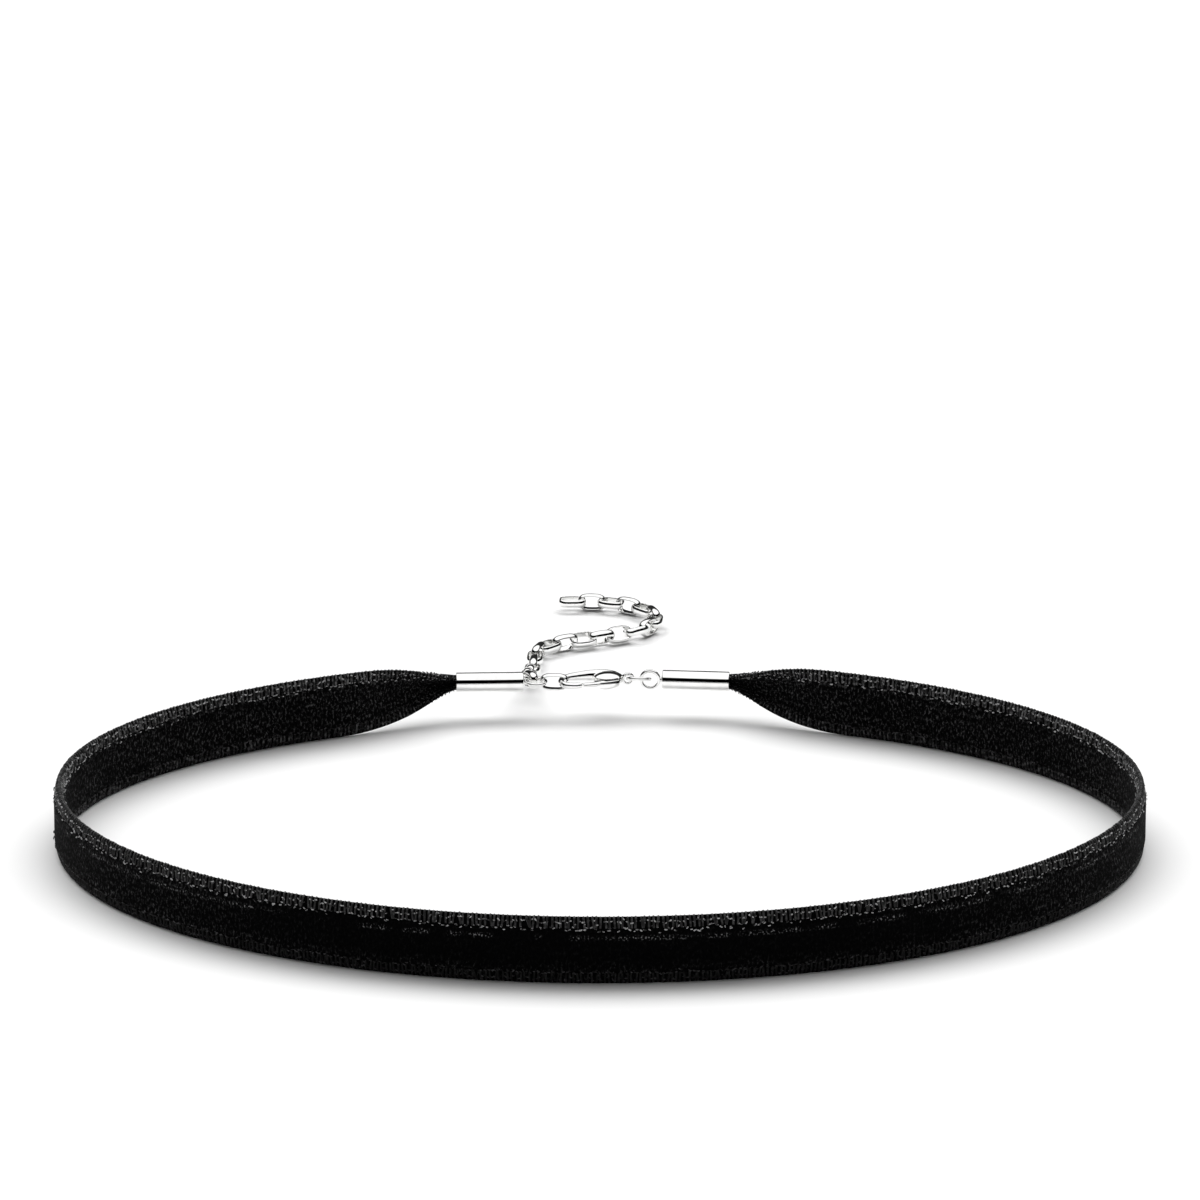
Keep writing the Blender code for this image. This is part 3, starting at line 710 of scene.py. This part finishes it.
def buildEdges(path, yarns):
    size = edgeSizes
    tree = stitchTree()
    edges = (("upper", 1, 3, yarns["loopYarn"], yarns["upperYarnPaintedGlints"]),
             ("lower", -1, 5, yarns["footYarn"], yarns["lowerYarnPaintedShade"]))
    for name, side, seed, loopFinish, floatFinish in edges:
        random = np.random.RandomState(seed)
        loopGuide = guideMesh(name + "LoopGuide", loopRows(path, side, random))
        loops = runTree(tree, name + "Selvedge", loopGuide,
                        {"Wire": size["loopWire"], "Reach": size["loopReach"],
                         "Half": size["loopHalf"], "Vary": size["loopVary"],
                         "Seed": seed, "Finish": loopFinish}, loopFinish)
        floatGuide = guideMesh(name + "FloatGuide", floatRows(path, side, random))
        floats = runTree(tree, name + "Floats", floatGuide,
                         {"Wire": size["floatWire"], "Reach": size["floatRise"],
                          "Half": size["floatHalf"], "Vary": size["floatVary"],
                          "Steps": size["floatSteps"], "Sides": size["floatSides"],
                          "Seed": seed + 1, "Finish": floatFinish}, floatFinish)
        for piece in (loops, floats):
            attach(piece, "choker")
            print(piece.name, len(piece.data.polygons), "faces")


# Silver

tubeSizes = {
    "length": 8.0 * mm, "radius": 1.2 * mm, "wall": 0.2 * mm, "sharp": math.radians(50),
    # the mouth's rounded lips: along the tube, and into its wall
    "innerLip": (0.06 * mm, 0.05 * mm),
    "outerLip": ((0.0, 0.05 * mm), (0.02 * mm, 0.015 * mm), (0.07 * mm, 0.0)),
    # the closed end: its rounded edge, and the neck of solder to the ring, waisted by these shares
    "edge": 0.12 * mm, "neck": 0.2 * mm, "neckRadius": 0.32 * mm, "solder": 0.06 * mm,
    "neckShares": (1.35, 1.08, 0.95, 0.45),
    "ringWire": 0.42 * mm, "leftRing": 2.7 * mm, "rightRing": 2.57 * mm,
}


def tubeSeat(node, outwards):
    # mouth of a tube, and the way from its mouth to its ring
    middle, axes, low, high = seatOf(node)
    if axes[0, 0] * outwards > 0:
        mouth, along = middle + axes[:, 0] * low[0], axes[:, 0]
    else:
        mouth, along = middle + axes[:, 0] * high[0], -axes[:, 0]
    return Vector(mouth), Vector(along)


def buildTube(name, node, mouth, along, ringDiameter, ringNormal, finish):
    size = tubeSizes
    length, radius, edge = size["length"], size["radius"], size["edge"]
    bore = radius - size["wall"]
    profile = [(length - size["wall"], bore), (size["innerLip"][0], bore),
               (0.0, bore + size["innerLip"][1])]
    profile += [(reach, radius - depth) for reach, depth in size["outerLip"]]
    profile += [(length - edge + edge * math.sin(a), radius - edge + edge * math.cos(a))
                for a in np.linspace(0, math.pi / 2, 6)]
    wireMiddle = length + size["neck"] + size["ringWire"] / 2
    neckPlaces = (length, length + size["solder"], length + size["neck"], wireMiddle)
    profile += [(reach, size["neckRadius"] * share)
                for reach, share in zip(neckPlaces, size["neckShares"])]
    sideways = ringNormal.cross(along).normalized()
    place = matrixOf(mouth, (along, sideways, along.cross(sideways)))
    ringMiddle = mouth + along * (length + size["neck"] + ringDiameter / 2)
    ringPlace = matrixOf(ringMiddle, (along, sideways, ringNormal))
    ring = ringAround((ringDiameter - size["ringWire"]) / 2, size["ringWire"])
    parts = [placed(lathe(profile), place), placed(ring, ringPlace)]
    piece = meshPiece(name, *joined(parts), finish)
    piece.data.set_sharp_from_angle(angle=size["sharp"])
    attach(piece, "choker")
    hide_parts(node)
    print(name, "done")


linkSizes = {
    "length": 3.45 * mm, "height": 2.16 * mm, "band": 0.95 * mm, "thickness": 0.3 * mm,
    "roundness": 3.0, "rim": 0.25, "crown": 0.8,
}


def linkShape(stations=64):
    # rounded oval in XZ of a wide half-round band, nearly flat inside
    size = linkSizes
    reach = (size["length"] - size["thickness"]) / 2
    rise = (size["height"] - size["thickness"]) / 2
    power = size["roundness"]
    halfBand, half = size["band"] / 2, size["thickness"] / 2
    rim = size["rim"] * 2 - 1  # height of the band's rims, between -1 inside and 1 at the crown
    # the band's section, as shares of its half width and half thickness: over the crown, round
    # one rim, along the inside and round the other rim
    section = [(t, rim + (1 - rim) * (1 - t * t) ** size["crown"])
               for t in np.linspace(-0.97, 0.97, 13)]
    section += [(1.0, rim - 0.1), (1.0, rim - 0.3), (0.94, -0.9), (0.8, -1.0), (0.3, -0.94)]
    section += [(-0.3, -0.94), (-0.8, -1.0), (-0.94, -0.9), (-1.0, rim - 0.3), (-1.0, rim - 0.1)]
    rings = []
    for turn in anglesAround(stations):
        c, s = math.cos(turn), math.sin(turn)
        x, z = math.copysign(abs(c) ** (2 / power), c), math.copysign(abs(s) ** (2 / power), s)
        out = Vector((math.copysign(abs(x) ** (power - 1), x) / reach, 0,
                      math.copysign(abs(z) ** (power - 1), z) / rise)).normalized()
        point = Vector((x * reach, 0, z * rise))
        rings.append([point + out * half * o + Vector((0, halfBand * a, 0)) for a, o in section])
    return skinned(rings, closed=True)


def buildChain(finish):
    nodes = sorted(n for n in frame["nodes"] if n.startswith("chain_link_"))
    shape, parts = linkShape(), []
    for node in nodes:
        middle, axes = seatOf(node)[:2]
        length, height = Vector(axes[:, 0]), Vector(axes[:, 1])
        parts.append(placed(shape, matrixOf(middle, (length, height.cross(length), height))))
    piece = meshPiece("extensionChain", *joined(parts), finish)
    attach(piece, "choker")
    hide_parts(*nodes)
    print("chain done,", len(nodes), "links,", len(piece.data.polygons), "faces")


def buildJumpRing(finish):
    size = {"diameter": 3.2 * mm, "wire": 0.44 * mm}
    middle, axes = seatOf("jump_ring")[:2]
    ring = ringAround((size["diameter"] - size["wire"]) / 2, size["wire"])
    place = matrixOf(middle, [Vector(axes[:, i]) for i in range(3)])
    piece = meshPiece("jumpRing", *placed(ring, place), finish)
    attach(piece, "choker")
    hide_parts("jump_ring")
    print("jump ring done")


# The clasp, modelled in millimetres around its middle and set in place at the end

claspSizes = {
    "heading": math.radians(9), "halfLength": 4.5, "halfWidth": 2.0, "thickness": 1.7, "bar": 0.8,
    "pivot": (0.365, -0.08), "slant": 0.45, "sharp": math.radians(60), "voxel": 0.045,
    "eyeReach": 0.833, "eyeRadius": 0.6, "eyeWire": 0.4,
    # the swollen back, and the slot in it that the lever swings in
    "swellMiddle": (0.30, 0.125), "swellSize": (0.42, 0.78, 1.0),
    "slot": 0.76, "slotEnds": (-0.30, 0.545), "slotFront": -3.0, "slotBack": 0.375,
    "pinRadius": 0.17, "pinTop": 0.44,
    "leverThickness": 0.62, "bossRadius": 0.5, "holeRadius": 0.25, "holeReach": 2.0,
    "leverVoxel": 0.034,
}

# along, across, bar width and depth, as shares of the sizes above: hook's tip to the eye's neck
clawRows = (
    (-0.480, -0.78, 0.75, 0.40), (-0.580, -0.81, 0.90, 0.44), (-0.730, -0.76, 0.95, 0.46),
    (-0.895, -0.56, 0.92, 0.47), (-0.955, 0.00, 0.95, 0.47), (-0.870, 0.45, 1.00, 0.50),
    (-0.690, 0.74, 1.12, 0.57), (-0.420, 0.87, 1.25, 0.68), (-0.110, 0.88, 1.38, 0.84),
    (0.200, 0.76, 1.50, 0.94), (0.470, 0.50, 1.50, 0.88), (0.640, 0.18, 1.12, 0.60),
    (0.700, 0.02, 0.60, 0.35),
)
leverRows = (
    (-0.435, -0.77, 0.75, 0.88), (-0.270, -0.78, 0.80, 0.92), (-0.070, -0.70, 0.90, 0.92),
    (0.130, -0.50, 1.05, 0.92), (0.290, -0.22, 1.12, 0.92), (0.365, -0.08, 0.75, 0.90),
)
tabRows = (
    (0.020, -1.03, 0.30, 1.35), (0.150, -1.04, 0.45, 1.60), (0.350, -0.94, 0.55, 1.60),
    (0.530, -0.74, 0.50, 1.35), (0.610, -0.56, 0.30, 0.95),
)
webRows = ((0.350, -0.20, 0.90, 0.82), (0.390, -0.90, 1.00, 0.82))


def sweptBar(rows, depth, slanted=False, steps=6, sides=28):
    # oval bar through the rows; a slanted one starts with the face in which claw and lever meet
    size, rings = claspSizes, []
    rows = smoothRows(rows, steps)
    points = [Vector((row[0] * size["halfLength"], row[1] * size["halfWidth"], 0)) for row in rows]
    for index, (point, row) in enumerate(zip(points, rows)):
        ahead, behind = points[min(index + 1, len(points) - 1)], points[max(index - 1, 0)]
        side = up.cross(ahead - behind).normalized()
        if slanted and index == 0:
            side = Vector((-size["slant"], 1, 0)) * math.copysign(1, side.y)
        rings.append([point + side * math.cos(a) * row[2] * size["bar"] / 2
                      + up * math.sin(a) * row[3] * depth / 2 for a in anglesAround(sides)])
    return skinned(rings)


def uprightBar(reach, radius, sides, middle):
    # round bar stood on end at a plan point, as far up as down
    turn = Matrix.Translation((*middle, 0)) @ Matrix.Rotation(math.radians(90), 4, "Y")
    return placed(lathe([(-reach, radius), (reach, radius)], sides), turn)


def fused(name, parts, cuts, voxel, finish, rounds=8):
    # parts melted into one skin like cast silver, with the cuts taken out, then polished
    whole = meshPiece(name, *joined(parts), finish)
    melt = whole.modifiers.new("melt", "REMESH")
    melt.mode, melt.voxel_size, melt.use_smooth_shade = "VOXEL", voxel, True
    tools = [meshPiece(name + "Cut", *cut, finish) for cut in cuts]
    for tool in tools:
        cut = whole.modifiers.new("cut", "BOOLEAN")
        cut.operation, cut.object, cut.solver = "DIFFERENCE", tool, "EXACT"
    if cuts and rounds:
        again = whole.modifiers.new("again", "REMESH")
        again.mode, again.voxel_size, again.use_smooth_shade = "VOXEL", voxel, True
    if rounds:
        polish = whole.modifiers.new("polish", "SMOOTH")
        polish.factor, polish.iterations = 0.5, rounds
    bpy.context.view_layer.update()
    evaluated = whole.evaluated_get(bpy.context.evaluated_depsgraph_get())
    data = bpy.data.meshes.new_from_object(evaluated)
    whole.modifiers.clear()
    whole.data = data
    data.name = name
    for tool in tools:
        bpy.data.objects.remove(tool)
    print(name, len(data.polygons), "faces")
    return whole


def partOf(piece):
    # a piece taken back into plain corners and faces
    data = piece.data
    part = [v.co.copy() for v in data.vertices], [list(f.vertices) for f in data.polygons]
    bpy.data.objects.remove(piece)
    return part


def boxPart(low, high):
    ends = list(zip(low, high))
    verts = [Vector((x, y, z)) for x in ends[0] for y in ends[1] for z in ends[2]]
    return verts, [[0, 1, 3, 2], [4, 6, 7, 5], [0, 4, 5, 1],
                   [2, 3, 7, 6], [0, 2, 6, 4], [1, 5, 7, 3]]


def ballPart(middle, size, segments=48, rings=24):
    profile = [(-math.cos(a), max(math.sin(a), 0.02)) for a in np.linspace(0, math.pi, rings)]
    shape = Matrix.Translation(middle) @ Matrix.Diagonal((*size, 1))
    return placed(lathe(profile, segments), shape)


def buildClasp(finish):
    size = claspSizes
    halfLength, halfWidth = size["halfLength"], size["halfWidth"]
    pivot = (size["pivot"][0] * halfLength, size["pivot"][1] * halfWidth)

    # body: claw, eye and the swollen back with its slot
    swell = ballPart((size["swellMiddle"][0] * halfLength, size["swellMiddle"][1] * halfWidth, 0),
                     (size["swellSize"][0] * halfLength, size["swellSize"][1] * halfWidth,
                      size["swellSize"][2] * size["thickness"] / 2))
    slotStart, slotEnd = size["slotEnds"][0] * halfLength, size["slotEnds"][1] * halfLength
    slot = boxPart((slotStart, size["slotFront"], -size["slot"] / 2),
                   (slotEnd, size["slotBack"] * halfWidth, size["slot"] / 2))
    cheeks = partOf(fused("claspCheeks", [swell], [slot], size["voxel"], finish, 0))
    claw = sweptBar(clawRows, size["thickness"], slanted=True)
    eyePlace = (Matrix.Translation((size["eyeReach"] * halfLength, 0, 0))
                @ Matrix.Rotation(math.radians(90), 4, "X"))
    eye = placed(ringAround(size["eyeRadius"], size["eyeWire"]), eyePlace)
    body = fused("claspBody", [cheeks, claw, eye], [], size["voxel"], finish)

    # lever: boss around the pin, arm to the hook's tip, and the web out to the thumb tab
    boss = uprightBar(size["leverThickness"] / 2, size["bossRadius"], 48, pivot)
    arm = sweptBar(leverRows, size["leverThickness"], slanted=True)
    web = sweptBar(webRows, size["leverThickness"])
    tab = sweptBar(tabRows, size["leverThickness"])
    hole = uprightBar(size["holeReach"], size["holeRadius"], 32, pivot)
    lever = fused("claspLever", [boss, arm, web, tab], [hole], size["leverVoxel"], finish)

    pin = uprightBar(size["thickness"] * size["pinTop"], size["pinRadius"], 32, pivot)
    rivet = meshPiece("claspRivet", *pin, finish)

    hinge = next(j for j in frame["joints"] if j["name"] == "clasp_lever_hinge")
    turn = Matrix.Rotation(size["heading"], 4, "Z")
    middle = Vector(hinge["pos_m"]) - turn @ Vector((*pivot, 0)) * mm
    place = Matrix.Translation(middle) @ turn @ Matrix.Scale(mm, 4)
    for piece, rides, node in ((body, "choker", "clasp_body"), (rivet, "choker", None),
                               (lever, "lever", "clasp_lever")):
        piece.data.transform(place)
        piece.data.shade_smooth()
        piece.data.set_sharp_from_angle(angle=size["sharp"])
        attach(piece, rides)
        if node:
            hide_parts(node)
    print("clasp done")


# Whole

buildStudio()
silver = silverFinish()
velvet = pileFinish()
yarns = {name: yarnFinish(name) for name in yarnTunes}

leftMouth, leftIn = tubeSeat("end_tube_left", 1)
rightMouth, rightIn = tubeSeat("end_tube_right", -1)
path = RibbonPath(leftMouth, leftIn, rightMouth, rightIn)
buildRibbon(path, velvet)
buildEdges(path, yarns)
buildTube("leftTube", "end_tube_left", leftMouth, leftIn, tubeSizes["leftRing"], up, silver)
buildTube("rightTube", "end_tube_right", rightMouth, rightIn, tubeSizes["rightRing"],
          up.cross(rightIn).normalized(), silver)
buildChain(silver)
buildJumpRing(silver)
buildClasp(silver)
